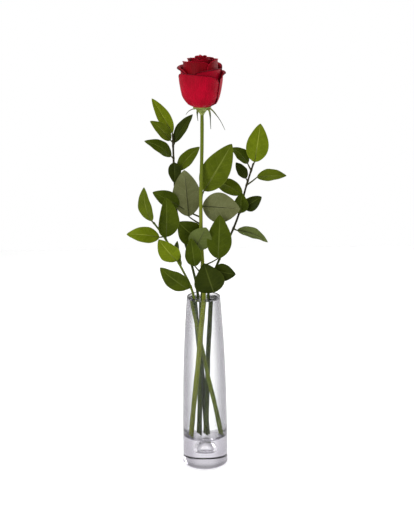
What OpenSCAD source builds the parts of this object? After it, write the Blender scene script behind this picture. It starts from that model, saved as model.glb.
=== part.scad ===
// Glass bud vase with a single rose and greenery.
// Origin: centre of the vase's underside. +Z up, the front of the arrangement faces -Y. Millimetres.

/* [Vase] */
// Height of the glass from the table to the rim
vase_h = 200; // [190:1:210]
// Radius of the foot
foot_r = 25.8; // [25:0.1:28]
// How much narrower the rim is than the foot, on the radius
taper = 7.2; // [6:0.1:7.4]
// How late up the wall the taper sets in: 1 is a straight cone
taper_power = 2.5; // [2:0.1:3]
// Glass wall at the rim
rim_wall = 2.2; // [1.8:0.1:2.4]
// Glass wall just above the solid base
low_wall = 2.8; // [2.4:0.1:3.2]
// Thickness of the solid glass base
base_h = 33; // [30:0.5:34]
// Radius of the polished edge under the foot
heel_r = 1.6; // [1:0.1:2.4]
// Width of the air bubble cast into the base
bubble_w = 19; // [14:0.5:22]
// Height of the air bubble
bubble_h = 9; // [6:0.5:12]
// Height of the bubble's centre above the table
bubble_z = 18; // [16:0.5:20]

/* [Rose] */
// Stem radius at the cut end
rose_cut_r = 2.4; // [2:0.1:2.5]
// Stem radius under the flower
rose_neck_r = 1.9; // [1.5:0.1:2.2]
// Height at which the petals start
bloom_z = 411; // [410:0.5:412]
// How far the flower stands to the right of the vase's axis
bloom_x = 0.7; // [0:0.1:1.5]
// Widest radius of the flower's cup
bloom_r = 23.5; // [22:0.5:25]
// How far the lips of the outer petals turn out beyond the cup
lip_out = 2.8; // [1:0.1:3]
// Height of the heart above the petals' start
heart_h = 55; // [52:0.5:56]
// Number of petals, outside to inside
petals = 15; // [10:1:15]
// Thickness of a petal
petal_t = 0.5; // [0.3:0.1:0.6]

/* [Greenery] */
// Stem radius at the cut end
green_cut_r = 2; // [1.6:0.1:2.1]
// Stem radius at the growing tip
green_tip_r = 1; // [0.7:0.1:1.3]
// Thickness of a leaf blade
leaf_t = 0.6; // [0.4:0.1:0.8]
// Radius of a leaf stalk
stalk_r = 0.8; // [0.6:0.1:0.9]
// Height of the midrib under the blade
rib_h = 0.7; // [0.4:0.1:0.9]

/* [Hidden] */
$fn = 48;
floor_z = base_h;
cut_z = floor_z + 1.5;     // the cut stems stand just clear of the glass floor
wall_steps = 16;
seam = 0.15;               // what grows on a stem stands this far off it, so that each is a piece
rim_r = foot_r - taper;

// Stem routes, cut end first. The first stretch is straight from the floor to above the rim.
rose_route = [[-13, -5, cut_z], [1.3, -2.8, 205], [-1.5, -2, 250], [-2, -1, 314],
              [0.5, 0, 370], [bloom_x, 0, 404]];
center_route = [[-4.5, 6.2, cut_z], [-1.5, 8.5, 205], [-2, 9, 290], [-0.5, 8.6, 313]];
left_tall_route = [[1.5, 11, cut_z], [-6.5, 12, 205], [-17, 15, 250], [-26, 18, 275],
                   [-30.5, 21, 292], [-31, 24, 330], [-32, 24, 378]];
left_low_route = [[13.5, 2, cut_z], [-11.5, 2, 205], [-20, -6, 225], [-28, -12, 243],
                  [-39.5, -18, 269], [-53, -21, 288]];
right_route = [[0.5, 5.5, cut_z], [5, 11.5, 205], [12.5, 14, 225], [24, 17, 250],
               [34.5, 19, 272], [42, 20, 289], [47.5, 21, 316], [57, 21, 345]];

// Leaves: [where the stalk leaves the stem, blade's base, blade's tip, blade's width, roll].
// At roll 0 the upper side faces the front, and at roll 180 the underside does.
left_tall_leaves = [
    [[-32, 24, 377], [-32.5, 24, 380], [-54, 20, 419], 15, -20],
    [[-31.7, 24, 366], [-34.5, 23, 372], [-56, 15, 395], 15, -35],
    [[-31.6, 24, 360], [-30, 25, 369], [-10, 33, 400], 15, 35],
    [[-31.2, 24, 350], [-34, 24, 354], [-63, 17, 373], 16, -40],
    [[-31, 24, 335], [-27.5, 25, 338], [-2.5, 34, 363.5], 16, 25],
    [[-31.1, 24, 345], [-31, 20.5, 348], [-31, 14, 326], 15, 10],
];
left_low_leaves = [
    [[-53, -21, 288], [-55, -21, 290], [-63, -24, 328], 17, 30],
    [[-40, -18.1, 269.5], [-39.8, -20, 272], [-38.5, -27, 317], 27, -10],
    [[-42.5, -18.7, 273.5], [-47, -19.5, 272], [-83, -22, 276.5], 18, -30],
    [[-28.6, -12.3, 244.4], [-29, -15, 244], [-48, -27, 271], 22, 10],
    [[-25, -9.8, 236], [-24.5, -11, 238], [-28, -17, 267], 15, 60],
    [[-14.5, -0.9, 212], [-17.5, -6, 209.5], [-47, -25, 238], 22, 10],
];
center_leaves = [
    [[-2, 8.9, 277], [-15, 7, 289], [-19.5, 6, 342], 31, 180],
    [[-0.5, 8.6, 312], [2, 8.5, 317], [33, 5, 370], 30, 0],
    [[-1.6, 8.9, 297], [-0.5, 5.5, 300.5], [41.5, -6, 299.5], 33, 180],
    [[-1.8, 8.8, 256], [-4, 6, 261], [-27, 7, 283], 27, 0],
    [[-1.7, 8.7, 240], [-9, -9, 254], [4, -17, 282], 25, 180],
    [[-1.6, 8.6, 222], [-9, -8, 236], [-13, -14, 269], 18, 0],
    [[-1.5, 8.5, 209], [11.5, -8, 205.5], [1, -17, 241], 33, 0],
    [[-1.7, 8.6, 229], [16.5, -6, 244], [19, -6.5, 293], 27, 0],
    [[-1.6, 8.5, 215], [11, -6, 231], [36, -9, 226], 20, 0],
    [[-2, 9, 286], [-26, 9.5, 300], [-55, 8, 317], 18, -20],
];
right_leaves = [
    [[57, 21, 344], [58, 21, 347], [65, 19, 390], 24, 0],
    [[49, 21, 320.5], [61, 21, 330], [94, 19, 332], 15, 35],
    [[54.5, 21, 337.3], [51, 22, 345], [33.5, 28, 363], 15, -35],
    [[50.5, 21, 325], [49, 22.5, 328], [38, 29, 346], 12, -20],
    [[46, 20.7, 308.6], [45, 22.5, 310.5], [13, 37, 324], 18, -30],
    [[43.3, 20.2, 295.4], [46, 19, 296], [66, 15, 309], 19, 20],
    [[42, 20, 289], [42.5, 17.5, 290.5], [43.5, 10, 315], 17, 0],
    [[34.5, 19, 272], [38, 17.5, 270.5], [73, 8, 259], 17, 145],
    [[8, 12.5, 213], [9, 11, 211], [22, 9, 228], 11, 0],
];
// Sepals, in the same form as leaves
sepals = [
    [[-4, 0, 409.5], [-9, -1, 409.2], [-17, -3, 403], 3.5, -30],
    [[-2.5, -4, 409], [-5, -7, 405], [-4, -9, 397], 3.5, 0],
    [[4.5, -4, 409], [8, -6, 405.5], [10, -8, 388], 3.5, 0],
    [[6, -1, 409], [10.5, -2, 404.5], [25.5, -6, 386.5], 3.5, 20],
    [[5, 3.5, 409.5], [10.5, 4, 408.5], [15.5, 6, 402], 3.5, 40],
];

SPRIGS = [["center", center_route, center_leaves], ["left_tall", left_tall_route, left_tall_leaves],
          ["left_low", left_low_route, left_low_leaves], ["right", right_route, right_leaves]];

glass = [0.85, 0.9, 0.92, 0.4];
stem_green = [0.38, 0.48, 0.16];
leaf_green = [0.22, 0.36, 0.06];
rose_red = [0.7, 0.02, 0.06];

function outer_r(z) = foot_r - taper * pow(z / vase_h, taper_power);
function wall(z) = low_wall + (rim_wall - low_wall) * (z - floor_z) / (vase_h - floor_z);
function arc(cx, cz, r, from, to, n) =
    [for (i = [0:n]) let (a = from + (to - from) * i / n) [cx + r * cos(a), cz + r * sin(a)]];
function unit(v) = v / norm(v);

// One blown and cut piece of glass: solid base, tapering wall, round fire-polished lip
module vase() {
    lip = rim_wall / 2;
    lip_z = vase_h - lip;
    corner_r = 4;
    floor_r = outer_r(floor_z) - low_wall;
    outside = [for (i = [0:wall_steps])
        let (z = heel_r + (lip_z - heel_r) * i / wall_steps) [outer_r(z), z]];
    inside = [for (i = [wall_steps:-1:0])
        let (z = floor_z + corner_r + (lip_z - floor_z - corner_r) * i / wall_steps)
        [outer_r(z) - wall(z), z]];
    color(glass) difference() {
        rotate_extrude() polygon(concat(
            [[0, 0]],
            arc(outer_r(heel_r) - heel_r, heel_r, heel_r, -90, -15, 4),
            outside,
            arc(outer_r(lip_z) - lip, lip_z, lip, 22.5, 157.5, 6),
            inside,
            arc(floor_r - corner_r, floor_z + corner_r, corner_r, -15, -90, 4),
            [[0, floor_z]]));
        rotate_extrude() polygon([for (i = [0:12]) let (a = -90 + 15 * i)
            [max(0, bubble_w / 2 * cos(a)), bubble_z + bubble_h / 2 * sin(a)]]);
    }
}

// A tapering stem along a route, with a slightly swollen knot at each bend
module stem(route, r_start, r_end) {
    last = len(route) - 1;
    heights = [for (p = route) p[2]];
    function radius(i) = r_start + (r_end - r_start)
        * (heights[i] - heights[0]) / (heights[last] - heights[0]);
    for (i = [0:last - 1])
        rod(route[i], route[i + 1], radius(i), radius(i + 1));
    for (i = [1:last - 1])
        translate(route[i]) sphere(r = radius(i) * 1.12);
}

// A leaf of a sprig, its stalk cut to seat on the sprig's stem
module sprig_leaf(spec, route) difference() {
    leaf(spec, leaf_t, rib_h, stalk_r);
    stem(route, green_cut_r + seam, green_tip_r + seam);
}

module rod(from, to, r1, r2) {
    d = to - from;
    translate(from) rotate([0, acos(d[2] / norm(d)), atan2(d[1], d[0])])
        cylinder(h = norm(d), r1 = r1, r2 = r2);
}

// Half the width of a blade at a share t of its length, as a share of its greatest half width
function blade_half(t) = pow(sin(180 * pow(t, 0.82)), 0.9) * (1 - 0.1 * t);

// A flat blade with a midrib under it, on a round stalk that starts inside the stem
module leaf(spec, thickness, rib, stalk) {
    from = spec[0];
    base = spec[1];
    tip = spec[2];
    half = spec[3] / 2;
    length = norm(tip - base);
    along = unit(tip - base);
    facing = unit([0, -1, 0] - ([0, -1, 0] * along) * along);
    side = cross(facing, along);
    up = facing * cos(spec[4]) + side * sin(spec[4]);
    across = cross(up, along);
    steps = 9;
    edge = [for (i = [0:steps]) let (t = i / steps) [length * t, half * blade_half(t)]];
    other = [for (i = [steps - 1:-1:1]) [edge[i][0], -edge[i][1]]];
    rib_w = stalk * 0.9;
    multmatrix([[along[0], across[0], up[0], base[0]],
                [along[1], across[1], up[1], base[1]],
                [along[2], across[2], up[2], base[2]],
                [0, 0, 0, 1]]) {
        translate([0, 0, -thickness / 2]) linear_extrude(thickness)
            polygon(concat(edge, other));
        translate([0, 0, -thickness / 2 - rib]) linear_extrude(rib + thickness / 2)
            polygon([[-0.5, rib_w], [length * 0.8, 0], [-0.5, -rib_w]]);
    }
    rod(from, base + along * 0.4, stalk, stalk);
}

// The green cup under the petals with its five drooping sepals, grown in one piece
module rose_calyx() {
    top_r = 9;
    top_z = bloom_z - seam;
    stem_top = rose_route[5][2];
    color(stem_green) {
        translate([bloom_x, 0, 0]) rotate_extrude()
            polygon([[0, stem_top + seam], [2.6, stem_top + seam], [5.2, 406.2], [7.6, 408.6],
                     [top_r, top_z], [0, top_z]]);
        for (s = sepals) leaf(s, leaf_t, rib_h / 2, stalk_r);
    }
}

// Radius of the cup at a height above the petals' start, as a share of its widest
function cup(h) = 0.36 + 0.64 * pow(min(1, max(0, h / 30)), 0.3);

// Petal i of the spiral, counted from the outside: a curved shell nested inside petal i - 3
module petal(i) {
    outer_heights = [35.5, 39, 43.5, 41, 47];
    outer = len(outer_heights);
    share = 1 - 0.84 * (i - 1) / petals;
    last = outer_heights[outer - 1];
    height = i <= outer ? outer_heights[i - 1]
        : last + (heart_h - 1 - last) * sqrt((i - outer) / (petals - outer));
    lip = i <= outer ? lip_out : 0;
    steps = 10;
    outside = [for (k = [0:steps]) let (h = height * k / steps)
        [bloom_r * share * cup(h) + lip * pow(k / steps, 8), h]];
    inside = [for (k = [steps:-1:0]) [outside[k][0] - petal_t, outside[k][1]]];
    color(rose_red) translate([bloom_x, 0, bloom_z]) rotate([0, 0, 60 + i * 137.5])
        rotate_extrude(angle = i <= outer ? 122 : 132) polygon(concat(outside, inside));
}

// The rolled heart of the flower
module rose_heart() {
    r = 2.2;
    color(rose_red) translate([bloom_x, 0, bloom_z]) rotate_extrude()
        polygon([[0, 0], [1, 0], [r, 14], [r, heart_h - 10], [1, heart_h], [0, heart_h]]);
}

vase();
color(stem_green) stem(rose_route, rose_cut_r, rose_neck_r);  // rose_stem
rose_calyx();
for (i = [1:petals])
    petal(i);
rose_heart();
for (s = SPRIGS) {
    color(stem_green) stem(s[1], green_cut_r, green_tip_r);
    for (i = [1:len(s[2])])
        color(leaf_green) sprig_leaf(s[2][i - 1], s[1]);
}
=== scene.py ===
"""Glass bud vase with one red rose and four sprigs of greenery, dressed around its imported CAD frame."""

import math
import random

import bpy
import numpy as np
from mathutils import Matrix, Vector


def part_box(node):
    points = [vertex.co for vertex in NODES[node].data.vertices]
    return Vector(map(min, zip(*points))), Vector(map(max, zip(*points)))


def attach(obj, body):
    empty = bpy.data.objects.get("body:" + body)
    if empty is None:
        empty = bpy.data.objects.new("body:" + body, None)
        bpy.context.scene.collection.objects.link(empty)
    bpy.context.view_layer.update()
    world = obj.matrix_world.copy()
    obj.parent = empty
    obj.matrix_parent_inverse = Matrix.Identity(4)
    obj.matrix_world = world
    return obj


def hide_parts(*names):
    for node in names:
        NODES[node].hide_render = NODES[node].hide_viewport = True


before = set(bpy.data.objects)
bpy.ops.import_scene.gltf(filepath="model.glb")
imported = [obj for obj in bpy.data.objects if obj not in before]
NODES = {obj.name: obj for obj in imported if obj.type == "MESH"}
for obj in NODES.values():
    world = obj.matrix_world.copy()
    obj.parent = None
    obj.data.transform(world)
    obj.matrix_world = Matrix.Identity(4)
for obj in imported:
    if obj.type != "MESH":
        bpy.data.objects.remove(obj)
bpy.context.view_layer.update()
scene = bpy.context.scene
MM = 0.001


# ---------------------------------------------------------------- small helpers
def unit(v):
    return v / max(float(np.linalg.norm(v)), 1e-12)


def smooth_step(x, low, high):
    t = np.clip((x - low) / (high - low), 0.0, 1.0)
    return t * t * (3 - 2 * t)


def hash01(name, salt=0):
    """A repeatable number from 0 to 1 for a piece's name."""
    return random.Random(f"{name}/{salt}").random()


def node_points(name):
    """A CAD node's vertices in the row frame, in metres."""
    mesh = NODES[name].data
    pts = np.empty(len(mesh.vertices) * 3)
    mesh.vertices.foreach_get("co", pts)
    return pts.reshape(-1, 3)


def node_faces(name):
    """Corner indices of a CAD node's triangles."""
    mesh = NODES[name].data
    mesh.calc_loop_triangles()
    tri = np.empty(len(mesh.loop_triangles) * 3, dtype=np.int32)
    mesh.loop_triangles.foreach_get("vertices", tri)
    return tri.reshape(-1, 3)


class Builder:
    """Gathers vertices, faces, face materials and UVs for one piece."""

    def __init__(self):
        self.verts, self.faces, self.mats, self.uvs = [], [], [], []

    def grid(self, points, uv, material, flip=False, wrap=False):
        """A sheet of quads over points[row][column]. wrap joins the last column to the first."""
        rows, cols = points.shape[:2]
        start = len(self.verts)
        self.verts += [tuple(p) for p in points.reshape(-1, 3)]
        for i in range(rows - 1):
            for j in range(cols if wrap else cols - 1):
                k = (j + 1) % cols
                quad = [start + i * cols + j, start + i * cols + k,
                        start + (i + 1) * cols + k, start + (i + 1) * cols + j]
                ends = [uv[i][j], uv[i][j + 1 if wrap else k],
                        uv[i + 1][j + 1 if wrap else k], uv[i + 1][j]]
                if flip:
                    quad, ends = quad[::-1], ends[::-1]
                self.faces.append(quad)
                self.uvs.append([tuple(e) for e in ends])
                self.mats.append(material)
        return start

    def fan(self, ring, centre, material, flip=False):
        """Closes a ring of vertex indices with triangles to a point."""
        middle = len(self.verts)
        self.verts.append(tuple(centre))
        count = len(ring)
        for j in range(count):
            tri = [ring[j], ring[(j + 1) % count], middle]
            self.faces.append(tri[::-1] if flip else tri)
            self.uvs.append([(j / count, 0.0), ((j + 1) / count, 0.0), (j / count, 1.0)])
            self.mats.append(material)

    def shell(self, surface, uv, thick, facing, backing):
        """A thin sheet with two sides and a closed border. Its facing side looks towards
        (next column) x (next row)."""
        rows, cols = surface.shape[:2]
        normals = np.cross(np.gradient(surface, axis=1), np.gradient(surface, axis=0))
        normals /= np.maximum(np.linalg.norm(normals, axis=2, keepdims=True), 1e-12)
        first = self.grid(surface + normals * thick, uv, facing)
        second = self.grid(surface - normals * thick, uv, backing, flip=True)
        border = ([(0, j) for j in range(cols)] + [(i, cols - 1) for i in range(1, rows)]
                  + [(rows - 1, j) for j in range(cols - 2, -1, -1)]
                  + [(i, 0) for i in range(rows - 2, 0, -1)])
        for (i0, j0), (i1, j1) in zip(border, border[1:] + border[:1]):
            a, b = i0 * cols + j0, i1 * cols + j1
            self.faces.append([first + b, first + a, second + a, second + b])
            near, far = tuple(uv[i0][j0]), tuple(uv[i1][j1])
            self.uvs.append([far, near, near, far])
            self.mats.append(backing)
        return normals

    def make(self, name, materials, body, smooth_angle=None):
        mesh = bpy.data.meshes.new(name)
        mesh.from_pydata(self.verts, [], self.faces)
        for m in materials:
            mesh.materials.append(m)
        mesh.polygons.foreach_set("material_index", self.mats)
        mesh.polygons.foreach_set("use_smooth", [True] * len(self.faces))
        layer = mesh.uv_layers.new(name="piece")
        flat = [c for face in self.uvs for corner in face for c in corner]
        layer.data.foreach_set("uv", flat)
        mesh.update()
        if smooth_angle is not None:
            mesh.set_sharp_from_angle(angle=math.radians(smooth_angle))
        obj = bpy.data.objects.new(name, mesh)
        scene.collection.objects.link(obj)
        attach(obj, body)
        return obj


def add_tube(build, path, radii, material, sides=14, cap_start=True, cap_end=True, tilt=None):
    """A round tube along a path. tilt slants its first ring, as a stem is cut."""
    path = np.asarray(path)
    tangents = np.gradient(path, axis=0)
    tangents /= np.linalg.norm(tangents, axis=1, keepdims=True)
    side = unit(np.cross(tangents[0], [0.0, 1.0, 0.13]))
    rings, length = [], 0.0
    uv = []
    for i, (p, t) in enumerate(zip(path, tangents)):
        side = unit(side - t * float(np.dot(side, t)))
        other = np.cross(t, side)
        angles = np.linspace(0, 2 * math.pi, sides, endpoint=False)
        ring = p + radii[i] * (np.cos(angles)[:, None] * side + np.sin(angles)[:, None] * other)
        if tilt is not None and i == 0:
            ring += t * (np.cos(angles) * radii[0] * tilt)[:, None]
        rings.append(ring)
        if i:
            length += float(np.linalg.norm(p - path[i - 1]))
        uv.append([(k / sides, length / 0.05) for k in range(sides + 1)])
    start = build.grid(np.array(rings), np.array(uv), material, wrap=True)
    if cap_start:
        build.fan([start + k for k in range(sides)], rings[0].mean(axis=0), material + 0, flip=True)
    if cap_end:
        last = start + (len(path) - 1) * sides
        build.fan([last + k for k in range(sides)],
                  path[-1] + tangents[-1] * radii[-1] * 0.6, material)


def resample(points, count):
    """Evenly spaced points along a polyline."""
    points = np.asarray(points, dtype=float)
    steps = np.linalg.norm(np.diff(points, axis=0), axis=1)
    at = np.concatenate([[0.0], np.cumsum(steps)])
    want = np.linspace(0.0, at[-1], count)
    return np.column_stack([np.interp(want, at, points[:, k]) for k in range(3)])


def soften(points, rounds):
    """Relaxes a polyline's corners, its ends held."""
    points = np.array(points)
    for _ in range(rounds):
        points[1:-1] = 0.5 * points[1:-1] + 0.25 * (points[:-2] + points[2:])
    return points


# ---------------------------------------------------------------- materials
class Shader:
    """A material's node tree, with short calls for the few node kinds used here."""

    def __init__(self, name, **sockets):
        self.mat = bpy.data.materials.new(name)
        self.mat.use_nodes = True
        self.tree = self.mat.node_tree
        self.bsdf = self.tree.nodes["Principled BSDF"]
        self.out = self.tree.nodes["Material Output"]
        for key, value in sockets.items():
            self.bsdf.inputs[key.replace("_", " ")].default_value = value

    def node(self, kind, **props):
        made = self.tree.nodes.new(kind)
        for key, value in props.items():
            setattr(made, key, value)
        return made

    def plug(self, value, socket):
        if isinstance(value, bpy.types.NodeSocket):
            self.tree.links.new(value, socket)
        elif value is not None:
            socket.default_value = value

    def calc(self, op, a, b=None, c=None, clamp=False):
        made = self.node("ShaderNodeMath", operation=op, use_clamp=clamp)
        for value, socket in zip((a, b, c), made.inputs):
            self.plug(value, socket)
        return made.outputs[0]

    def step(self, value, low, high, out_low=0.0, out_high=1.0):
        made = self.node("ShaderNodeMapRange", interpolation_type="SMOOTHSTEP")
        for key, v in zip(("Value", "From Min", "From Max", "To Min", "To Max"),
                          (value, low, high, out_low, out_high)):
            self.plug(v, made.inputs[key])
        return made.outputs["Result"]

    def mix(self, share, a, b, blend="MIX"):
        made = self.node("ShaderNodeMix", data_type="RGBA", blend_type=blend)
        # a Mix node's colour sockets come after its number and vector sockets
        self.plug(share, made.inputs[0])
        self.plug((*a, 1.0) if isinstance(a, tuple) else a, made.inputs[6])
        self.plug((*b, 1.0) if isinstance(b, tuple) else b, made.inputs[7])
        return made.outputs[2]

    def coords(self, stretch=(1.0, 1.0, 1.0), which="Object"):
        coord = self.node("ShaderNodeTexCoord")
        mapping = self.node("ShaderNodeMapping")
        self.plug(coord.outputs[which], mapping.inputs["Vector"])
        mapping.inputs["Scale"].default_value = stretch
        return mapping.outputs["Vector"]

    def noise(self, vector, scale, detail=3.0, roughness=0.5):
        made = self.node("ShaderNodeTexNoise")
        self.plug(vector, made.inputs["Vector"])
        made.inputs["Scale"].default_value = scale
        made.inputs["Detail"].default_value = detail
        made.inputs["Roughness"].default_value = roughness
        return made.outputs["Fac"]

    def split(self, vector):
        made = self.node("ShaderNodeSeparateXYZ")
        self.plug(vector, made.inputs[0])
        return made.outputs

    def bump(self, height, strength, distance):
        made = self.node("ShaderNodeBump")
        made.inputs["Strength"].default_value = strength
        made.inputs["Distance"].default_value = distance
        self.plug(height, made.inputs["Height"])
        self.plug(made.outputs[0], self.bsdf.inputs["Normal"])

    def colour(self, value):
        self.plug(value, self.bsdf.inputs["Base Color"])

    def rough(self, value):
        self.plug(value, self.bsdf.inputs["Roughness"])

    def clear_to_shadows(self, tint):
        """Lamps shine through the surface, so that what stands inside it is lit."""
        path = self.node("ShaderNodeLightPath")
        clear = self.node("ShaderNodeBsdfTransparent")
        clear.inputs["Color"].default_value = (*tint, 1.0)
        blend = self.node("ShaderNodeMixShader")
        self.plug(path.outputs["Is Shadow Ray"], blend.inputs[0])
        self.plug(self.bsdf.outputs[0], blend.inputs[1])
        self.plug(clear.outputs[0], blend.inputs[2])
        self.plug(blend.outputs[0], self.out.inputs["Surface"])


def glass_material():
    """Clear glass whose steeply seen sides are tinted grey, painted shade for how thick glass looks on a
    pale ground.
    """
    s = Shader("clear_glass", IOR=1.5, Transmission_Weight=1.0)
    s.bsdf.inputs["Specular Tint"].default_value = (0.3, 0.3, 0.31, 1.0)
    steep = s.node("ShaderNodeLayerWeight")
    steep.inputs["Blend"].default_value = 0.5
    # painted shade: the grey that steep glass shows by refraction is put into its colour
    flank_shade = s.step(steep.outputs["Facing"], 0.06, 0.3)
    s.colour(s.mix(flank_shade, (0.96, 0.96, 0.965), (0.45, 0.44, 0.465)))
    wide = s.noise(s.coords((1.0, 1.0, 0.35)), 60.0, detail=1.0)
    s.rough(s.step(s.noise(s.coords(), 220.0), 0.45, 0.8, 0.0, 0.03))
    s.bump(wide, 0.12, 0.0006)
    s.clear_to_shadows((0.8, 0.8, 0.81))
    # tints the glass by its thickness, so the solid base looks grey
    body = s.node("ShaderNodeVolumeAbsorption")
    body.inputs["Color"].default_value = (0.8, 0.785, 0.82, 1.0)
    body.inputs["Density"].default_value = 40.0
    s.plug(body.outputs[0], s.out.inputs["Volume"])
    return s.mat


def water_material():
    s = Shader("water", IOR=1.333, Transmission_Weight=1.0, Roughness=0.0)
    s.bsdf.inputs["Specular Tint"].default_value = (0.2, 0.2, 0.2, 1.0)
    cloud = s.noise(s.coords(), 25.0, detail=1.0)
    s.colour(s.mix(cloud, (0.985, 0.992, 0.99), (0.975, 0.985, 0.98)))
    s.clear_to_shadows((0.97, 0.975, 0.975))
    return s.mat


def vein_fields(s):
    """(midrib, side veins, share of the way to the edge) of a blade from its UVs."""
    u, v = s.split(s.coords(which="UV"))[:2]
    across = s.calc("ABSOLUTE", s.calc("MULTIPLY_ADD", u, 2.0, -1.0))
    midrib = s.step(across, 0.085, 0.0)
    lean = s.calc("MULTIPLY", s.calc("POWER", across, 0.8), 1.5)
    wobble = s.calc("MULTIPLY", s.noise(s.coords(), 160.0, detail=1.0), 0.35)
    phase = s.calc("ADD", s.calc("SUBTRACT", s.calc("MULTIPLY", v, 7.5), lean), wobble)
    near = s.calc("ABSOLUTE", s.calc("SUBTRACT", s.calc("FRACT", phase), 0.5))
    veins = s.calc("MULTIPLY", s.step(near, 0.44, 0.5), s.step(across, 1.0, 0.55))
    return midrib, veins, across


def leaf_top_material(name, deep, fresh, rib):
    s = Shader(name, Specular_IOR_Level=0.03)
    midrib, veins, across = vein_fields(s)
    patches = s.step(s.noise(s.coords(), 55.0, detail=4.0, roughness=0.6), 0.32, 0.7)
    blade = s.mix(patches, deep, fresh)
    cells = s.noise(s.coords(), 900.0, detail=2.0)
    blade = s.mix(s.step(cells, 0.35, 0.75, 0.0, 0.35), blade, deep)
    marks = s.calc("ADD", s.calc("MULTIPLY", midrib, 0.75), s.calc("MULTIPLY", veins, 0.22),
                   clamp=True)
    blade = s.mix(marks, blade, rib)
    s.colour(s.mix(s.step(across, 0.93, 1.0, 0.0, 0.4), blade, rib))
    s.rough(s.step(patches, 0.0, 1.0, 0.36, 0.5))
    height = s.calc("ADD", s.calc("MULTIPLY", midrib, -1.0), s.calc("MULTIPLY", veins, -0.55))
    s.bump(s.calc("ADD", height, s.calc("MULTIPLY", cells, 0.35)), 0.5, 0.0004)
    return s.mat


def leaf_under_material(name, pale, brown, rib):
    s = Shader(name, Specular_IOR_Level=0.03)
    midrib, veins, _ = vein_fields(s)
    patches = s.step(s.noise(s.coords(), 45.0, detail=5.0, roughness=0.65), 0.3, 0.72)
    blade = s.mix(patches, pale, brown)
    net = s.step(s.noise(s.coords(), 600.0, detail=3.0), 0.4, 0.65, 0.0, 0.3)
    blade = s.mix(net, blade, brown)
    marks = s.calc("ADD", s.calc("MULTIPLY", midrib, 0.6), s.calc("MULTIPLY", veins, 0.4),
                   clamp=True)
    s.colour(s.mix(marks, blade, rib))
    s.rough(s.step(patches, 0.0, 1.0, 0.55, 0.72))
    s.bump(s.calc("ADD", s.calc("MULTIPLY", midrib, 0.6), veins), 0.5, 0.0004)
    return s.mat


def stem_material(name, low, high, turn_z, bark=0.35):
    """A stem that goes from one colour low down to another above turn_z."""
    s = Shader(name, Specular_IOR_Level=0.04)
    height = s.split(s.coords())[2]
    colour = s.mix(s.step(height, turn_z - 0.03, turn_z + 0.04), low, high)
    streaks = s.noise(s.coords((1.0, 1.0, 0.06)), 900.0, detail=3.0)
    darker = s.mix(1.0, colour, (0.55, 0.5, 0.4), blend="MULTIPLY")
    colour = s.mix(s.step(streaks, 0.35, 0.7, 0.0, bark), colour, darker)
    spots = s.step(s.noise(s.coords(), 420.0, detail=1.0), 0.66, 0.74, 0.0, bark)
    s.colour(s.mix(spots, colour, (0.12, 0.09, 0.03)))
    s.rough(s.step(streaks, 0.3, 0.7, 0.38, 0.55))
    s.bump(s.calc("ADD", streaks, spots), 0.35, 0.0003)
    return s.mat


def petal_material(name, deep, bright, edge):
    s = Shader(name, Specular_IOR_Level=0.05, Sheen_Weight=0.02, Sheen_Roughness=0.4)
    s.bsdf.inputs["Sheen Tint"].default_value = (1.0, 0.35, 0.42, 1.0)
    u, v = s.split(s.coords(which="UV"))[:2]
    streaks = s.noise(s.coords((26.0, 1.6, 1.0), which="UV"), 3.0, detail=5.0, roughness=0.6)
    cloud = s.noise(s.coords(), 70.0, detail=2.0)
    tone = s.calc("ADD", s.calc("MULTIPLY", streaks, 0.55), s.calc("MULTIPLY", cloud, 0.45))
    colour = s.mix(s.step(tone, 0.36, 0.64), deep, bright)
    # the rolled lip, and below it the side edges, take the edge colour: painted shade on the outer petals,
    # a painted highlight along the inner petals' rims
    colour = s.mix(s.step(v, 0.78, 1.0, 0.0, 0.9), colour, edge)
    sides = s.calc("ABSOLUTE", s.calc("MULTIPLY_ADD", u, 2.0, -1.0))
    s.colour(s.mix(s.step(sides, 0.93, 1.0, 0.0, 0.5), colour, edge))
    velvet = s.noise(s.coords(), 1500.0, detail=1.0)
    s.rough(s.step(velvet, 0.3, 0.7, 0.42, 0.56))
    s.bump(s.calc("ADD", streaks, s.calc("MULTIPLY", velvet, 0.4)), 0.35, 0.0005)
    return s.mat


def calyx_material():
    s = Shader("calyx_green", Specular_IOR_Level=0.08)
    v = s.split(s.coords(which="UV"))[1]
    mottled = s.noise(s.coords(), 260.0, detail=3.0)
    colour = s.mix(s.step(mottled, 0.35, 0.65), (0.15, 0.19, 0.04), (0.26, 0.29, 0.09))
    s.colour(s.mix(s.step(v, 0.1, 0.7), colour, (0.025, 0.04, 0.01)))
    s.rough(s.step(mottled, 0.3, 0.7, 0.5, 0.65))
    s.bump(mottled, 0.3, 0.0003)
    return s.mat


def cut_material():
    s = Shader("cut_end", Specular_IOR_Level=0.3)
    rings = s.noise(s.coords(), 1400.0, detail=2.0)
    s.colour(s.mix(s.step(rings, 0.35, 0.65), (0.42, 0.45, 0.2), (0.55, 0.56, 0.33)))
    s.rough(s.step(rings, 0.3, 0.7, 0.6, 0.75))
    s.bump(rings, 0.3, 0.0003)
    return s.mat


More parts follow.
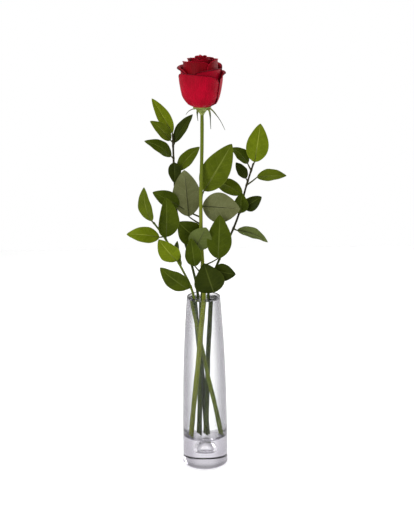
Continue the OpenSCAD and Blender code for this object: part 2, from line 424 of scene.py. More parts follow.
GLASS, WATER, CALYX, CUT = glass_material(), water_material(), calyx_material(), cut_material()
# The four top tones were matched to how light each leaf looks. Besides the leaf's own green, bright and
# soft hold painted light and dark holds painted shade.
TOPS = {
    "bright": leaf_top_material("leaf_top_bright", (0.085, 0.115, 0.003), (0.13, 0.17, 0.005),
                                (0.26, 0.3, 0.04)),
    "soft": leaf_top_material("leaf_top_soft", (0.055, 0.075, 0.003), (0.085, 0.112, 0.005),
                              (0.17, 0.2, 0.035)),
    "mid": leaf_top_material("leaf_top_mid", (0.032, 0.047, 0.002), (0.052, 0.072, 0.003),
                             (0.11, 0.14, 0.02)),
    "dark": leaf_top_material("leaf_top_dark", (0.016, 0.024, 0.002), (0.028, 0.038, 0.003),
                              (0.07, 0.09, 0.015)),
}
UNDERS = {
    "pale": leaf_under_material("leaf_under_pale", (0.2, 0.24, 0.1), (0.14, 0.17, 0.06),
                                (0.3, 0.34, 0.17)),
    "grey": leaf_under_material("leaf_under_grey", (0.13, 0.14, 0.06), (0.09, 0.095, 0.035),
                                (0.2, 0.2, 0.1)),
    "olive": leaf_under_material("leaf_under_olive", (0.1, 0.125, 0.035), (0.075, 0.095, 0.022),
                                 (0.18, 0.2, 0.08)),
}
ROSE_STEM = stem_material("rose_stem_skin", (0.17, 0.2, 0.02), (0.1, 0.13, 0.012), 0.31)
SPRIG_STEMS = {
    # painted light and shade: the left_low stem is paler where it stands lit at the front, the other stems
    # darker where they stand behind in shadow
    "left_low": stem_material("sprig_bark_fresh", (0.13, 0.17, 0.02), (0.06, 0.09, 0.015), 0.26),
    "other": stem_material("sprig_bark", (0.045, 0.065, 0.012), (0.028, 0.025, 0.012), 0.25),
}
TWIG = stem_material("leaf_stalk", (0.07, 0.09, 0.02), (0.05, 0.055, 0.02), 0.26)
# PETAL_OUT and PETAL_RIM darken to near black at lips and sides: painted shade under the rolled lips and
# where petals tuck under each other
PETAL_OUT = petal_material("petal_outside", (0.22, 0.0, 0.008), (0.36, 0.0, 0.015),
                           (0.05, 0.0, 0.003))
PETAL_RIM = petal_material("petal_rim", (0.15, 0.0, 0.004), (0.3, 0.0, 0.009),
                           (0.03, 0.0, 0.003))
# PETAL_IN is darker overall, painted shade of the tightly folded middle, and its bright edge colour is a
# painted highlight on the inner rims
PETAL_IN = petal_material("petal_inside", (0.1, 0.0, 0.002), (0.2, 0.0, 0.005),
                          (0.4, 0.003, 0.02))


# ---------------------------------------------------------------- vase and water
def vase_profile():
    """The CAD vase's rings as (radius, height): outside, inside, and the bubble in its base."""
    pts = node_points("vase")
    rings = {(round(math.hypot(x, y) / (0.05 * MM)), round(z / (0.05 * MM))) for x, y, z in pts}
    rings = np.array(sorted(rings, key=lambda rz: (rz[1], rz[0]))) * 0.05 * MM
    near = np.abs(rings[:, None, 1] - rings[None, :, 1]) < 4.5 * MM
    envelope = np.where(near, rings[None, :, 0], 0.0).max(axis=1)
    outer = rings[rings[:, 0] > envelope - 1.2 * MM]
    foot = outer[:, 0].max()
    bubble = rings[(rings[:, 0] < 0.5 * foot) & (rings[:, 1] > 2 * MM)]
    top_of_bubble = bubble[:, 1].max()
    inside = rings[(rings[:, 0] < envelope - 1.6 * MM) & (rings[:, 1] > top_of_bubble + 1 * MM)]
    return outer, inside, inside[:, 1].min(), bubble


def revolve(build, profile, material, sides=144, flip=False, centre=(0.0, 0.0)):
    """Turns a (radius, height) profile about the vertical through centre. Ends on the axis close."""
    angles = np.linspace(0, 2 * math.pi, sides, endpoint=False)
    profile = np.asarray(profile)
    on_axis = [profile[0, 0] < 1e-6, profile[-1, 0] < 1e-6]
    body = profile[int(on_axis[0]):len(profile) - int(on_axis[1])]
    ring = np.column_stack([np.cos(angles), np.sin(angles)])
    pts = np.array([np.column_stack([centre[0] + r * ring[:, 0], centre[1] + r * ring[:, 1],
                                     np.full(sides, z)]) for r, z in body])
    v = np.linspace(0, 1, len(body))
    uv = np.array([[(k / sides, t) for k in range(sides + 1)] for t in v])
    start = build.grid(pts, uv, material, flip=flip, wrap=True)
    if on_axis[0]:
        build.fan([start + k for k in range(sides)],
                  (*centre, profile[0, 1]), material, flip=not flip)
    if on_axis[1]:
        last = start + (len(body) - 1) * sides
        build.fan([last + k for k in range(sides)],
                  (*centre, profile[-1, 1]), material, flip=flip)


OUTER, INNER, FLOOR_Z, BUBBLE = vase_profile()
RIM_Z = OUTER[:, 1].max()


def inner_radius(z):
    order = np.argsort(INNER[:, 1])
    walls = INNER[order]
    walls = walls[walls[:, 0] > 0.5 * OUTER[:, 0].max()]
    return float(np.interp(z, walls[:, 1], walls[:, 0]))


def build_vase():
    foot_r = OUTER[:, 0].max()
    lip_r = (OUTER[-1, 0] - inner_radius(RIM_Z - 2 * MM)) / 2
    heel = 2.2 * MM
    under = [(0.0, 1.1 * MM), (0.3 * foot_r, 1.0 * MM), (0.6 * foot_r, 0.6 * MM), (0.8 * foot_r, 0.1 * MM),
             (foot_r - heel - 1.2 * MM, 0.0)]
    heel_arc = [(foot_r - heel + heel * math.cos(a), heel + heel * math.sin(a))
                for a in np.radians(np.linspace(-90, -8, 8))]
    zs = np.linspace(heel * 1.4, RIM_Z - lip_r, 46)
    walls = OUTER[np.argsort(OUTER[:, 1])]
    walls = walls[(walls[:, 1] > heel * 0.9) & (walls[:, 1] < RIM_Z - lip_r * 0.9)]
    radii = soften(np.column_stack([np.interp(zs, walls[:, 1], walls[:, 0]), zs, zs * 0]), 6)[:, 0]
    outside = list(zip(radii, zs))
    inside_zs = np.linspace(RIM_Z - lip_r, FLOOR_Z + 5 * MM, 44)
    inside_r = [inner_radius(z) for z in inside_zs]
    inside_r = soften(np.column_stack([inside_r, inside_zs, inside_zs * 0]), 6)[:, 0]
    lip_mid = (radii[-1] + inside_r[0]) / 2
    lip_half = (radii[-1] - inside_r[0]) / 2
    lip = [(lip_mid + lip_half * math.cos(a), RIM_Z - lip_r + lip_r * math.sin(a))
           for a in np.radians(np.linspace(12, 168, 11))]
    corner = 4.5 * MM
    floor_r = inside_r[-1] - corner
    cove = [(floor_r + corner * math.cos(a), FLOOR_Z + corner + corner * math.sin(a))
            for a in np.radians(np.linspace(-6, -90, 8))]
    floor = [(floor_r * 0.7, FLOOR_Z - 0.1 * MM), (floor_r * 0.35, FLOOR_Z - 0.25 * MM),
             (0.0, FLOOR_Z - 0.3 * MM)]
    build = Builder()
    revolve(build, under + heel_arc + outside + lip + list(zip(inside_r, inside_zs)) + cove + floor, 0)
    # the air bubble's skin, facing into the bubble: a dome taller than the CAD's
    wide = BUBBLE[:, 0].max()
    low, high = BUBBLE[:, 1].min(), BUBBLE[:, 1].max()
    waist = low + 0.3 * (high - low)
    crown = FLOOR_Z - 3.2 * MM - waist
    skin = []
    for a in np.radians(np.linspace(-90, 90, 41)):
        rise = math.sin(a) * (waist - low if a < 0 else crown)
        skin.append((wide * math.cos(a) if abs(a) < 1.57 else 0.0, waist + rise))
    skin[0], skin[-1] = (0.0, skin[0][1]), (0.0, skin[-1][1])
    revolve(build, skin, 0, flip=True, sides=96)
    vase = build.make("vase_glass", [GLASS], "vase", smooth_angle=60)
    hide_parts("vase")


def build_water():
    """Water up to just under the rim. It bites a little into the glass so no air gap shows."""
    bite = 0.15 * MM
    level = RIM_Z - 2.6 * MM
    zs = np.linspace(level, FLOOR_Z + 5 * MM, 40)
    wall = [inner_radius(z) + bite for z in zs]
    wall = soften(np.column_stack([wall, zs, zs * 0]), 6)[:, 0]
    meniscus = [(wall[0] * s, level - 1.1 * MM * (1 - math.exp(-(1 - s) * 14)))
                for s in (0.0, 0.5, 0.75, 0.86, 0.92, 0.96, 0.985)]
    corner = 4.5 * MM
    floor_r = wall[-1] - corner
    cove = [(floor_r + corner * math.cos(a), FLOOR_Z - bite + corner + corner * math.sin(a))
            for a in np.radians(np.linspace(-6, -90, 8))]
    floor = [(floor_r * 0.6, FLOOR_Z - 0.35 * MM), (0.0, FLOOR_Z - 0.45 * MM)]
    build = Builder()
    revolve(build, meniscus + list(zip(wall, zs)) + cove + floor, 0, flip=True)
    water = build.make("water", [WATER], "vase", smooth_angle=70)


# ---------------------------------------------------------------- stems
def centre_line(name, count=70):
    """(points, radii) along a CAD stem, from horizontal slices of its mesh."""
    pts, tris = node_points(name), node_faces(name)
    low, high = pts[:, 2].min(), pts[:, 2].max()
    edges = np.unique(np.sort(tris[:, [0, 1, 1, 2, 2, 0]].reshape(-1, 2), axis=1), axis=0)
    a, b = pts[edges[:, 0]], pts[edges[:, 1]]
    line, radii = [], []
    for z in np.linspace(low + 1.2 * MM, high - 1.2 * MM, count):
        cross = (a[:, 2] - z) * (b[:, 2] - z) < 0
        t = ((z - a[cross, 2]) / (b[cross, 2] - a[cross, 2]))[:, None]
        hits = a[cross] + t * (b[cross] - a[cross])
        centre = (hits.min(axis=0) + hits.max(axis=0)) / 2
        line.append(centre)
        radii.append(np.linalg.norm(hits - centre, axis=1).min())
    line = np.array(line)
    ends = [line[0] - unit(line[1] - line[0]) * 1.2 * MM, line[-1] + unit(line[-1] - line[-2]) * 1.2 * MM]
    line = np.vstack([ends[0], line, ends[1]])
    radii = np.array([radii[0], *radii, radii[-1]])
    return soften(line, 14), soften(np.column_stack([radii] * 3), 10)[:, 0]


STEMS = {name: centre_line(name) for name in sorted(NODES) if name.endswith("_stem")}


def nearest_on(line, point):
    """(index, distance) of the centre line's point nearest to a point."""
    gaps = np.linalg.norm(line - point, axis=1)
    best = int(gaps.argmin())
    return best, float(gaps[best])


def build_stem(name, body, skin, knots, thorns=()):
    """A stem with slightly swollen joints where leaves leave it, and a slanting cut."""
    line, radii = STEMS[name]
    count = len(line) * 3
    fine = resample(line, count)
    at = np.linspace(0, 1, count)
    thick = np.interp(at, np.linspace(0, 1, len(radii)), radii)
    rng = random.Random(name)
    wave = [rng.uniform(0, 6.28) for _ in range(4)]
    thick *= 1 + 0.03 * np.sin(at * 40 + wave[0]) + 0.02 * np.sin(at * 97 + wave[1])
    sway = 0.18 * MM * np.sin(math.pi * at) ** 0.5
    fine[:, 0] += sway * np.sin(at * 21 + wave[2])
    fine[:, 1] += sway * np.sin(at * 17 + wave[3])
    for knot in knots:
        gap = np.linalg.norm(fine - knot, axis=1)
        thick *= 1 + 0.32 * np.exp(-(gap / (1.6 * MM)) ** 2)
    build = Builder()
    add_tube(build, fine, thick, 0, sides=18, tilt=1.1)
    ends = [i for i, f in enumerate(build.faces) if len(f) == 3][:18]
    for i in ends:
        build.mats[i] = 1
    for share, turn in thorns:
        k = int(share * (count - 1))
        out = np.array([math.cos(turn), math.sin(turn), 0.0])
        root = fine[k] + out * thick[k] * 0.7
        tip = root + out * 2.6 * MM + np.array([0, 0, -1.2 * MM])
        path = np.array([root, root + out * 1.0 * MM, (root + tip) / 2 + out * 0.4 * MM, tip])
        add_tube(build, path, [1.0 * MM, 0.62 * MM, 0.36 * MM, 0.06 * MM], 0, sides=8)
    stem = build.make(name.replace("_stem", "") + "_stem_skin", [skin, CUT], body, smooth_angle=50)
    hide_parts(name)


# ---------------------------------------------------------------- leaves
def leaf_frame(name):
    """Base, tip, width, upper-side normal and stalk start of a CAD leaf, from its mesh."""
    pts, tris = node_points(name), node_faces(name)
    p = pts[tris]
    cross = np.cross(p[:, 1] - p[:, 0], p[:, 2] - p[:, 0])
    area = np.linalg.norm(cross, axis=1) / 2
    normal = cross / np.maximum(np.linalg.norm(cross, axis=1, keepdims=True), 1e-15)
    # most of a leaf's skin faces along its blade's normal, one way or the other
    spread = np.linalg.eigh((normal * area[:, None]).T @ normal)[1][:, 2]
    best = normal[int(np.argmax(np.abs(normal @ spread) * np.minimum(area, 1e-6)))]
    # the midrib stands proud of the under side, so the upper side has more area at one level
    found = []
    for up in (best, -best):
        alike = (normal @ up) > 0.9995
        levels = p[alike].mean(axis=1) @ up
        shared = (np.abs(levels[:, None] - levels[None]) < 0.04 * MM) @ area[alike]
        found.append((shared.max(), len(found), up, levels[shared.argmax()], alike))
    _, _, up, level, alike = max(found, key=lambda f: f[:2])
    flat = pts[np.unique(tris[alike])]
    flat = flat[np.abs(flat @ up - level) < 0.08 * MM]
    gaps = np.linalg.norm(flat[:, None] - flat[None], axis=2)
    i, j = np.unravel_index(gaps.argmax(), gaps.shape)
    stem = name.split("_leaf_")[0] + "_stem"
    line = STEMS[stem][0]
    ends = sorted([flat[i], flat[j]], key=lambda q: nearest_on(line, q)[1])
    along = unit(ends[1] - ends[0])
    sideways = np.cross(up, along)
    width = np.ptp(flat @ sideways)
    start = pts[np.argmin([nearest_on(line, q)[1] for q in pts])]
    root = line[nearest_on(line, start)[0]]
    return {"base": ends[0], "tip": ends[1], "up": up, "width": float(width), "root": root,
            "stem": stem}


def blade_half(t):
    """Half width of a blade at share t of its length, with 1 at its widest."""
    body = np.sin(math.pi * t ** 0.84) ** 0.74 * (1 - 0.14 * t)
    return body / 0.905


# How each leaf departs from the rule: tone of its upper and under side (the upper tone also paints in the
# light or shade the leaf sits in), fold of its halves in degrees, arch as a share of its length, and curl
# of one edge
STYLE = {
    "left_tall_leaf_1": {"top": "bright", "fold": 14},
    "left_tall_leaf_2": {"top": "soft", "arch": 0.1},
    "left_tall_leaf_3": {"top": "dark", "fold": 24},
    "left_tall_leaf_4": {"top": "mid", "arch": 0.13},
    "left_tall_leaf_5": {"top": "soft", "arch": 0.1},
    "left_tall_leaf_6": {"top": "dark", "fold": 20},
    "left_low_leaf_1": {"top": "soft", "arch": 0.12},
    "left_low_leaf_2": {"top": "mid", "curl": 0.5},
    "left_low_leaf_3": {"top": "bright", "arch": 0.09},
    "left_low_leaf_4": {"top": "bright", "fold": 10},
    "left_low_leaf_5": {"top": "mid", "under": "pale"},
    "left_low_leaf_6": {"top": "mid", "fold": 8},
    "center_leaf_1": {"under": "grey", "fold": 10},
    "center_leaf_2": {"top": "soft", "fold": 10},
    "center_leaf_3": {"under": "grey", "fold": 8},
    "center_leaf_4": {"top": "mid"},
    "center_leaf_5": {"under": "olive", "fold": 10},
    "center_leaf_6": {"top": "mid", "fold": 16},
    "center_leaf_7": {"top": "dark", "fold": 10},
    "center_leaf_8": {"top": "mid", "fold": 14},
    "center_leaf_9": {"top": "dark", "fold": 14},
    "center_leaf_10": {"top": "mid", "arch": 0.09},
    "right_leaf_1": {"top": "bright", "fold": 7},
    "right_leaf_2": {"top": "soft", "fold": 20},
    "right_leaf_3": {"top": "mid", "arch": 0.13},
    "right_leaf_4": {"top": "dark"},
    "right_leaf_5": {"top": "soft", "arch": 0.12},
    "right_leaf_6": {"top": "dark", "curl": 0.7},
    "right_leaf_7": {"top": "mid"},
    "right_leaf_8": {"top": "soft", "under": "olive", "arch": 0.1},
    "right_leaf_9": {"top": "dark"},
}


def build_leaf(name):
    f = leaf_frame(name)
    style = STYLE.get(name, {})
    base, tip, up = f["base"], f["tip"], f["up"]
    length = float(np.linalg.norm(tip - base))
    along = (tip - base) / length
    sideways = np.cross(up, along)
    fold = math.radians(style.get("fold", 9 + 9 * hash01(name)))
    arch = style.get("arch", 0.035 + 0.035 * hash01(name, 1))
    curl = style.get("curl", 0.0)
    ripple = 0.45 * MM * (0.6 + 0.8 * hash01(name, 2))
    phase = 6.28 * hash01(name, 3)
    twist = math.radians(16) * (hash01(name, 4) - 0.5)
    skew = 0.1 * (hash01(name, 5) - 0.5)
    half = f["width"] / 2 * style.get("wide", 1.06)
    rows, cols = 34, 17
    t = np.linspace(0, 1, rows)
    s = np.linspace(-1, 1, cols)
    tt, ss = np.meshgrid(t, s, indexing="ij")
    w = np.maximum(blade_half(np.clip(tt, 1e-6, 1 - 1e-6)), 0.0) * half
    w = w * (1 + skew * ss)
    w = np.maximum(w, (0.25 - 0.15 * tt) * MM)
    out = np.abs(ss)
    lift = length * arch * np.sin(math.pi * tt) ** 0.9
    lift += w * out * math.sin(fold) * (1 - 0.35 * out)
    lift += ripple * out ** 2 * np.sin(2 * math.pi * (2.6 * tt) + phase + 1.9 * ss) * np.sin(math.pi * tt)
    lift -= 0.22 * MM * np.exp(-(out / 0.09) ** 2) * np.sin(math.pi * tt) ** 0.5
    spread = w * ss * math.cos(fold)
    if curl:
        over = smooth_step(ss, 0.35, 1.0) * curl * np.sin(math.pi * tt) ** 0.7
        lift += over * w * 0.75
        spread -= over * w * 0.55
    angle = twist * (tt - 0.3)
    side = spread * np.cos(angle) - lift * np.sin(angle) * 0.4
    rise = lift + spread * np.sin(angle)
    droop = length * 0.03 * smooth_step(tt, 0.7, 1.0) * (0.5 + hash01(name, 6))
    mid = base + along * (tt * length)[..., None]
    surface = mid + sideways * side[..., None] + up * (rise - droop)[..., None]
    thick = 0.16 * MM * (1 - 0.6 * out ** 3)[..., None]
    uv = np.stack([(ss + 1) / 2, tt], axis=2)
    build = Builder()
    below = build.shell(surface, uv, thick, 1, 0)
    # the stalk, which runs on under the blade as its midrib
    rib_rows = [k for k in range(rows) if t[k] <= 0.88]
    rib = surface[rib_rows, cols // 2] + below[rib_rows, cols // 2] * 0.26 * MM
    root = f["root"]
    sag = (root + rib[0]) / 2 + np.array([0, 0, -0.06 * np.linalg.norm(rib[0] - root)])
    stalk = [(1 - q) ** 2 * root + 2 * q * (1 - q) * sag + q * q * rib[0]
             for q in np.linspace(0, 1, 9)[:-1]]
    path = np.vstack([stalk, rib])
    taper = np.linspace(0, 1, len(rib))
    radii = np.concatenate([np.linspace(1.05, 0.72, 8) * MM,
                            (0.62 * (1 - taper) ** 0.8 + 0.1) * MM])
    add_tube(build, path, radii, 2, sides=9)
    sprig = f["stem"][:-len("_stem")]
    leaf = build.make(name + "_blade", [TOPS[style.get("top", "mid")],
                                        UNDERS[style.get("under", "pale")], TWIG],
                      sprig + "_sprig", smooth_angle=60)
    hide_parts(name)
    return root, sprig


# ---------------------------------------------------------------- rose
HEART_LOW, HEART_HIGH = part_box("rose_heart")
AXIS = np.array([(HEART_LOW.x + HEART_HIGH.x) / 2, (HEART_LOW.y + HEART_HIGH.y) / 2])
CUP_Z = HEART_LOW.z


def petal_frame(name):
    """Start and span in azimuth, and the (height, radius) outline, of a CAD petal."""
    pts = node_points(name)
    flat = pts[:, :2] - AXIS
    radius, height = np.linalg.norm(flat, axis=1), pts[:, 2] - CUP_Z
    azimuth = np.sort(np.unique(np.round(np.degrees(np.arctan2(flat[:, 1], flat[:, 0])) % 360, 2)))
    gaps = np.diff(np.append(azimuth, azimuth[0] + 360))
    widest = int(gaps.argmax())
    start = azimuth[(widest + 1) % len(azimuth)]
    levels = np.unique(np.round(height / (0.1 * MM))) * 0.1 * MM
    outline = np.array([[h, radius[np.abs(height - h) < 0.12 * MM].max()] for h in levels])
    return start, 360 - gaps[widest], outline


# How each of the five outer petals departs from the rule: share of the CAD radius, turn and extra
# span in degrees, slope of its rim in mm from side to side, radius and sweep of its rolled lip
PETALS = {
    1: {"swell": 1.02, "turn": 2, "wider": 14, "slope": -3.2, "lip": 1.2, "roll": 140},
    2: {"swell": 1.0, "turn": -2, "wider": 14, "slope": 1.0, "lip": 2.2, "roll": 235},
    3: {"swell": 1.06, "turn": -4, "wider": 12, "slope": -3.0, "lip": 2.3, "roll": 235},
    4: {"swell": 1.06, "turn": -2, "wider": 10, "slope": 1.5, "lip": 1.5, "roll": 150},
    5: {"swell": 1.14, "turn": 0, "wider": 16, "slope": -0.5, "lip": 2.1, "roll": 200},
}


def build_petal(number, count):
    name = f"petal_{number}"
    start, span, outline = petal_frame(name)
    style = PETALS.get(number, {})
    inner = number not in PETALS
    depth = (number - 1) / (count - 1)
    swell = style.get("swell", 1.2 - 0.12 * depth)
    middle = math.radians(start + span / 2 + style.get("turn", 10 * (hash01(name, 1) - 0.5)))
    half_span = math.radians(span + style.get("wider", 34)) / 2
    slope = style.get("slope", 1.4 * (hash01(name, 2) - 0.5)) * MM
    lip = style.get("lip", 2.1 - 1.3 * depth) * MM
    sweep = math.radians(style.get("roll", 120 - 70 * depth + 15 * hash01(name, 3)))
    tall = outline[:, 0].max()
    if inner:
        # the crown rises to the middle, and dips a little on the side the bloom faces
        crown = HEART_HIGH.z - CUP_Z - (5.4 - 5.2 * depth ** 1.5) * MM
        tall = crown + 2.4 * MM * math.sin(middle) * (1 - depth)
    clean = outline.copy()
    if not inner:
        clean[:, 1] -= 2.8 * MM * (outline[:, 0] / tall) ** 8
    rows, roll_rows, cols = 22, 12, 49
    u = np.linspace(-1, 1, cols)
    phase = 6.28 * hash01(name, 4)
    out = np.abs(u)
    # rounded shoulders, lower where the petal tucks under its neighbour
    top = tall * (1 - 0.05 * out ** 2.5 - 0.13 * out ** 9 - 0.05 * smooth_step(u, 0.5, 1.0)) + slope * u
    top += tall * 0.006 * np.sin(3.1 * u + phase)
    roll = sweep * (0.85 + 0.15 * np.cos(2.2 * u + phase)) * (1 - 0.45 * out ** 6)
    surface = np.empty((rows + roll_rows, cols, 3))
    uv = np.empty((rows + roll_rows, cols, 2))
    for j, x in enumerate(u):
        rho = lip * (0.9 + 0.18 * math.sin(2.6 * x + phase)) * (1 - 0.35 * abs(x) ** 6)
        rim = top[j] - rho * math.sin(min(roll[j], math.pi / 2))
        hs = rim * np.linspace(0, 1, rows) ** 1.25
        rs = np.interp(hs, clean[:, 0], clean[:, 1]) * (1 + (swell - 1) * smooth_step(hs, 0, 9 * MM))
        if inner:
            rs = rs * (1 - 0.06 * smooth_step(hs, 0.5 * tall, 0.85 * tall))
        steps = roll[j] * np.arange(1, roll_rows + 1) / roll_rows
        curled_r = rs[-1] + rho * (1 - np.cos(steps))
        curled_h = rim + rho * np.sin(steps)
        r = np.concatenate([rs, curled_r])
        h = np.concatenate([hs, curled_h])
        share = np.clip(h / tall, 0, 1)
        # one side of a petal lies over its neighbour and the other side tucks under
        tuck = (1.2 if not inner else 1.5) * MM * smooth_step(share, 0.05, 0.4)
        r = r - tuck * x - 0.3 * MM * math.cos(2.4 * x + phase) * share
        # a faint crease and the unevenness of a real petal
        r = r + 0.14 * MM * np.sin(7 * x + 4 * share + phase) * share
        r = np.maximum(r, 0.5 * MM)
        narrow = 0.7 + 0.3 * smooth_step(h, 0.0, 0.4 * tall) if not inner else np.ones(len(h))
        a = middle + half_span * x * narrow
        surface[:, j, 0] = AXIS[0] + r * np.cos(a)
        surface[:, j, 1] = AXIS[1] + r * np.sin(a)
        surface[:, j, 2] = CUP_Z + h
        uv[:, j, 0] = (x + 1) / 2
        uv[:, j, 1] = np.linspace(0, 1, rows + roll_rows)
    thick = np.linspace(0.3, 0.14, rows + roll_rows)[:, None, None] * MM
    build = Builder()
    build.shell(surface, uv, thick, 0, 1)
    skins = [PETAL_IN, PETAL_IN] if inner else [PETAL_OUT, PETAL_RIM]
    petal = build.make(name + "_blade", skins, "rose", smooth_angle=65)
    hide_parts(name)


def build_heart():
    """The innermost petals, still rolled in a tight scroll."""
    tall = HEART_HIGH.z - CUP_Z
    wide = (HEART_HIGH.x - HEART_LOW.x) / 2
    rows, cols = 26, 150
    v, u = np.meshgrid(np.linspace(0, 1, rows), np.linspace(0, 1, cols), indexing="ij")
    turn = 2 * math.pi * 2.6 * u + 0.6
    height = tall * (0.02 + v * (0.95 + 0.045 * np.sin(turn * 0.5)))
    radius = wide * (0.22 + 0.95 * u) * (1 - 0.35 * v ** 3)
    radius = radius + 0.7 * MM * smooth_step(v, 0.9, 1.0) * u
    surface = np.stack([AXIS[0] + radius * np.cos(turn), AXIS[1] + radius * np.sin(turn),
                        CUP_Z + height], axis=2)
    build = Builder()
    build.shell(surface, np.stack([u, v], axis=2), 0.12 * MM, 0, 1)
    heart = build.make("rose_heart_scroll", [PETAL_IN, PETAL_IN], "rose", smooth_angle=65)
    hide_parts("rose_heart")


def sepal_tips(count=5):
    """The far ends of the CAD calyx's sepals, each well apart from the others in azimuth."""
    pts = node_points("rose_calyx")
    flat = pts[:, :2] - AXIS
    order = np.argsort(-np.linalg.norm(np.column_stack([flat, pts[:, 2] - CUP_Z]), axis=1))
    tips = []
    for k in order:
        turn = math.degrees(math.atan2(flat[k, 1], flat[k, 0]))
        if all(abs((turn - other + 180) % 360 - 180) > 18 for other, _ in tips):
            tips.append((turn, pts[k]))
        if len(tips) == count:
            break
    return tips


def build_calyx():
    _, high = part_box("rose_calyx")
    neck = STEMS["rose_stem"][0][-1]
    rng = random.Random(11)
    build = Builder()
    # the hip: a small green urn with five faint lobes
    profile = [(0.0021, neck[2] - 1.6 * MM), (0.0026, neck[2] + 0.2 * MM), (0.0040, neck[2] + 1.6 * MM),
               (0.0049, neck[2] + 3.0 * MM), (0.0062, neck[2] + 4.2 * MM), (0.0084, neck[2] + 5.6 * MM),
               (0.0100, high.z - 0.6 * MM), (0.0103, high.z + 0.3 * MM), (0.0098, high.z + 0.8 * MM),
               (0.0, high.z + 0.7 * MM)]
    dense = resample(np.column_stack([np.array(profile), np.zeros(len(profile))]), 40)
    dense = soften(dense, 4)
    sides = 60
    angles = np.linspace(0, 2 * math.pi, sides, endpoint=False)
    lobes = 1 + 0.05 * np.cos(5 * angles + 0.7)
    ring_rows = dense[:-1]
    share = np.linspace(0, 1, len(ring_rows))
    pts = np.array([np.column_stack([AXIS[0] + (neck[0] - AXIS[0]) * (1 - s)
                                     + r * (1 + (lobes - 1) * s) * np.cos(angles),
                                     AXIS[1] + (neck[1] - AXIS[1]) * (1 - s)
                                     + r * (1 + (lobes - 1) * s) * np.sin(angles),
                                     np.full(sides, z)])
                    for (r, z, _), s in zip(ring_rows, share)])
    uv = np.array([[(k / sides, 0.0) for k in range(sides + 1)] for _ in ring_rows])
    first = build.grid(pts, uv, 0, wrap=True)
    build.fan([first + k for k in range(sides)], (*neck[:2], profile[0][1]), 0, flip=True)
    last = first + (len(ring_rows) - 1) * sides
    build.fan([last + k for k in range(sides)], (*AXIS, dense[-1, 1]), 0)
    # the sepals: thin tapering strips that leave the hip's edge and hang or spread
    for _, tip in sepal_tips():
        out = unit(np.array([*(tip[:2] - AXIS), 0.0]))
        base = np.array([*AXIS, high.z - 1.2 * MM]) + out * 8.2 * MM
        reach = float(np.linalg.norm(tip - base))
        bend = base + out * min(5 * MM, 0.35 * reach) + np.array([0, 0, 0.6 * MM])
        rows, cols = 22, 7
        t = np.linspace(0, 1, rows)[:, None]
        line = (1 - t) ** 2 * base + 2 * t * (1 - t) * bend + t * t * tip
        line = line + out * (0.5 * MM * np.sin(7 * t + rng.uniform(0, 6)) * t)
        run = np.gradient(line, axis=0)
        run /= np.linalg.norm(run, axis=1, keepdims=True)
        level = np.array([-out[1], out[0], 0.0])
        lean = rng.uniform(-0.5, 0.5)
        s = np.linspace(-1, 1, cols)
        half = (2.3 * MM * (1 - t[:, 0]) ** 1.3 + 0.28 * MM) * (1 + 0.1 * np.sin(15 * t[:, 0]))
        surface = np.empty((rows, cols, 3))
        for i in range(rows):
            swing = lean * t[i, 0]
            up = np.cross(run[i], level)
            across = level * math.cos(swing) + up * math.sin(swing)
            cupped = np.outer(np.abs(s) ** 2 * half[i] * 0.35, up)
            surface[i] = line[i] + np.outer(s * half[i], across) - cupped
        strip = np.stack(np.meshgrid(s * 0.5 + 0.5, np.linspace(0, 1, rows)), axis=2)
        build.shell(surface, strip, 0.17 * MM, 0, 0)
    calyx = build.make("calyx_hip", [CALYX], "rose", smooth_angle=60)
    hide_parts("rose_calyx")


# ---------------------------------------------------------------- build all pieces
build_vase()
build_water()
joints_of = {}
for leaf_name in sorted(n for n in NODES if "_leaf_" in n):
    joint, sprig_name = build_leaf(leaf_name)
    joints_of.setdefault(sprig_name, []).append(joint)
build_stem("rose_stem", "rose", ROSE_STEM, [], thorns=((0.66, 3.6), (0.78, 0.5)))
for sprig_name, knots in joints_of.items():
    build_stem(sprig_name + "_stem", sprig_name + "_sprig",
               SPRIG_STEMS.get(sprig_name, SPRIG_STEMS["other"]), knots)
petal_count = sum(n.startswith("petal_") for n in NODES)
for petal_number in range(1, petal_count + 1):
    build_petal(petal_number, petal_count)
build_heart()
build_calyx()


# ---------------------------------------------------------------- floor, light, camera
def build_floor():
    s = Shader("floor_white", Specular_IOR_Level=0.1, Emission_Strength=0.2)
    s.bsdf.inputs["Emission Color"].default_value = (1.0, 1.0, 1.0, 1.0)
    grain = s.noise(s.coords(), 40.0, detail=2.0)
    s.colour(s.mix(grain, (0.93, 0.93, 0.93), (0.95, 0.95, 0.95)))
    s.rough(s.step(grain, 0.3, 0.7, 0.9, 1.0))
    build = Builder()
    reach = 1.1
    line = np.linspace(-reach, reach, 13)
    pts = np.array([[(x, y, -0.4 * MM) for x in line] for y in line])
    uv = (pts[..., :2] + reach) / (2 * reach)
    build.grid(pts, uv, 0)
    mesh = bpy.data.meshes.new("floor")
    mesh.from_pydata(build.verts, [], build.faces)
    mesh.materials.append(s.mat)
    floor = bpy.data.objects.new("floor", mesh)
    scene.collection.objects.link(floor)


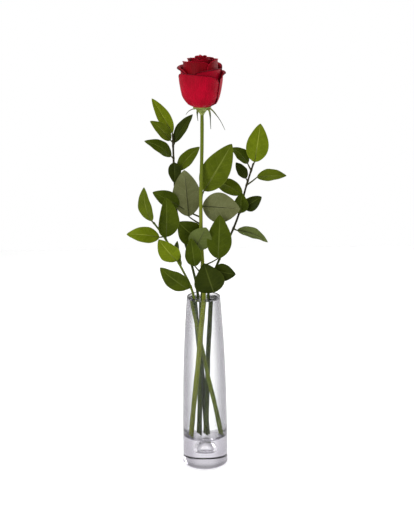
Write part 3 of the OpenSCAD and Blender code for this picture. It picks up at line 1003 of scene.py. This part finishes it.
def build_world():
    """White all round at eye level, dimmer overhead."""
    world = bpy.data.worlds.new("studio")
    scene.world = world
    world.use_nodes = True
    tree = world.node_tree
    back = tree.nodes["Background"]
    coord = tree.nodes.new("ShaderNodeTexCoord")
    parts = tree.nodes.new("ShaderNodeSeparateXYZ")
    ramp = tree.nodes.new("ShaderNodeValToRGB")
    tree.links.new(coord.outputs["Generated"], parts.inputs[0])
    tree.links.new(parts.outputs[2], ramp.inputs[0])
    ramp.color_ramp.interpolation = "EASE"
    ramp.color_ramp.elements[0].position = 0.38
    ramp.color_ramp.elements[0].color = (1.0, 1.0, 1.0, 1.0)
    ramp.color_ramp.elements[1].position = 0.7
    ramp.color_ramp.elements[1].color = (0.4, 0.4, 0.4, 1.0)
    tree.links.new(ramp.outputs[0], back.inputs["Color"])
    back.inputs["Strength"].default_value = 1.0


def softbox(name, place, target, wide, high, watts, colour=(1.0, 1.0, 1.0)):
    light = bpy.data.lights.new(name, "AREA")
    light.shape = "RECTANGLE"
    light.size, light.size_y = wide, high
    light.energy = watts
    light.color = colour
    lamp = bpy.data.objects.new(name, light)
    scene.collection.objects.link(lamp)
    lamp.location = place
    lamp.rotation_euler = (Vector(target) - Vector(place)).to_track_quat("-Z", "Y").to_euler()


build_floor()
build_world()
softbox("key", (-0.85, -0.95, 0.75), (0, 0, 0.33), 0.35, 0.9, 9.0)
softbox("rim", (0.95, 0.55, 0.6), (0, 0, 0.38), 0.4, 0.9, 7.0)
softbox("top", (-0.1, 0.2, 1.5), (0, 0, 0.3), 0.8, 0.8, 7.0)

camera = bpy.data.cameras.new("camera")
camera.sensor_width = 36.0
camera.lens = 76.24
camera.clip_start, camera.clip_end = 0.05, 20.0
eye = bpy.data.objects.new("camera", camera)
scene.collection.objects.link(eye)
yaw, pitch, roll = math.radians(0.21), math.radians(13.6), math.radians(0.63)
ahead = Vector((math.sin(yaw) * math.cos(pitch), math.cos(yaw) * math.cos(pitch), -math.sin(pitch)))
right = Vector((math.cos(yaw), -math.sin(yaw), 0.0))
over = right.cross(ahead)
tilted_right = math.cos(roll) * right - math.sin(roll) * over
tilted_over = math.sin(roll) * right + math.cos(roll) * over
place = Matrix((tilted_right, tilted_over, -ahead)).transposed().to_4x4()
place.translation = (0.0, -1.19, 0.53)
eye.matrix_world = place
scene.camera = eye

scene.view_settings.view_transform = "Standard"
scene.cycles.max_bounces = 18
scene.cycles.transmission_bounces = 18
scene.cycles.transparent_max_bounces = 24
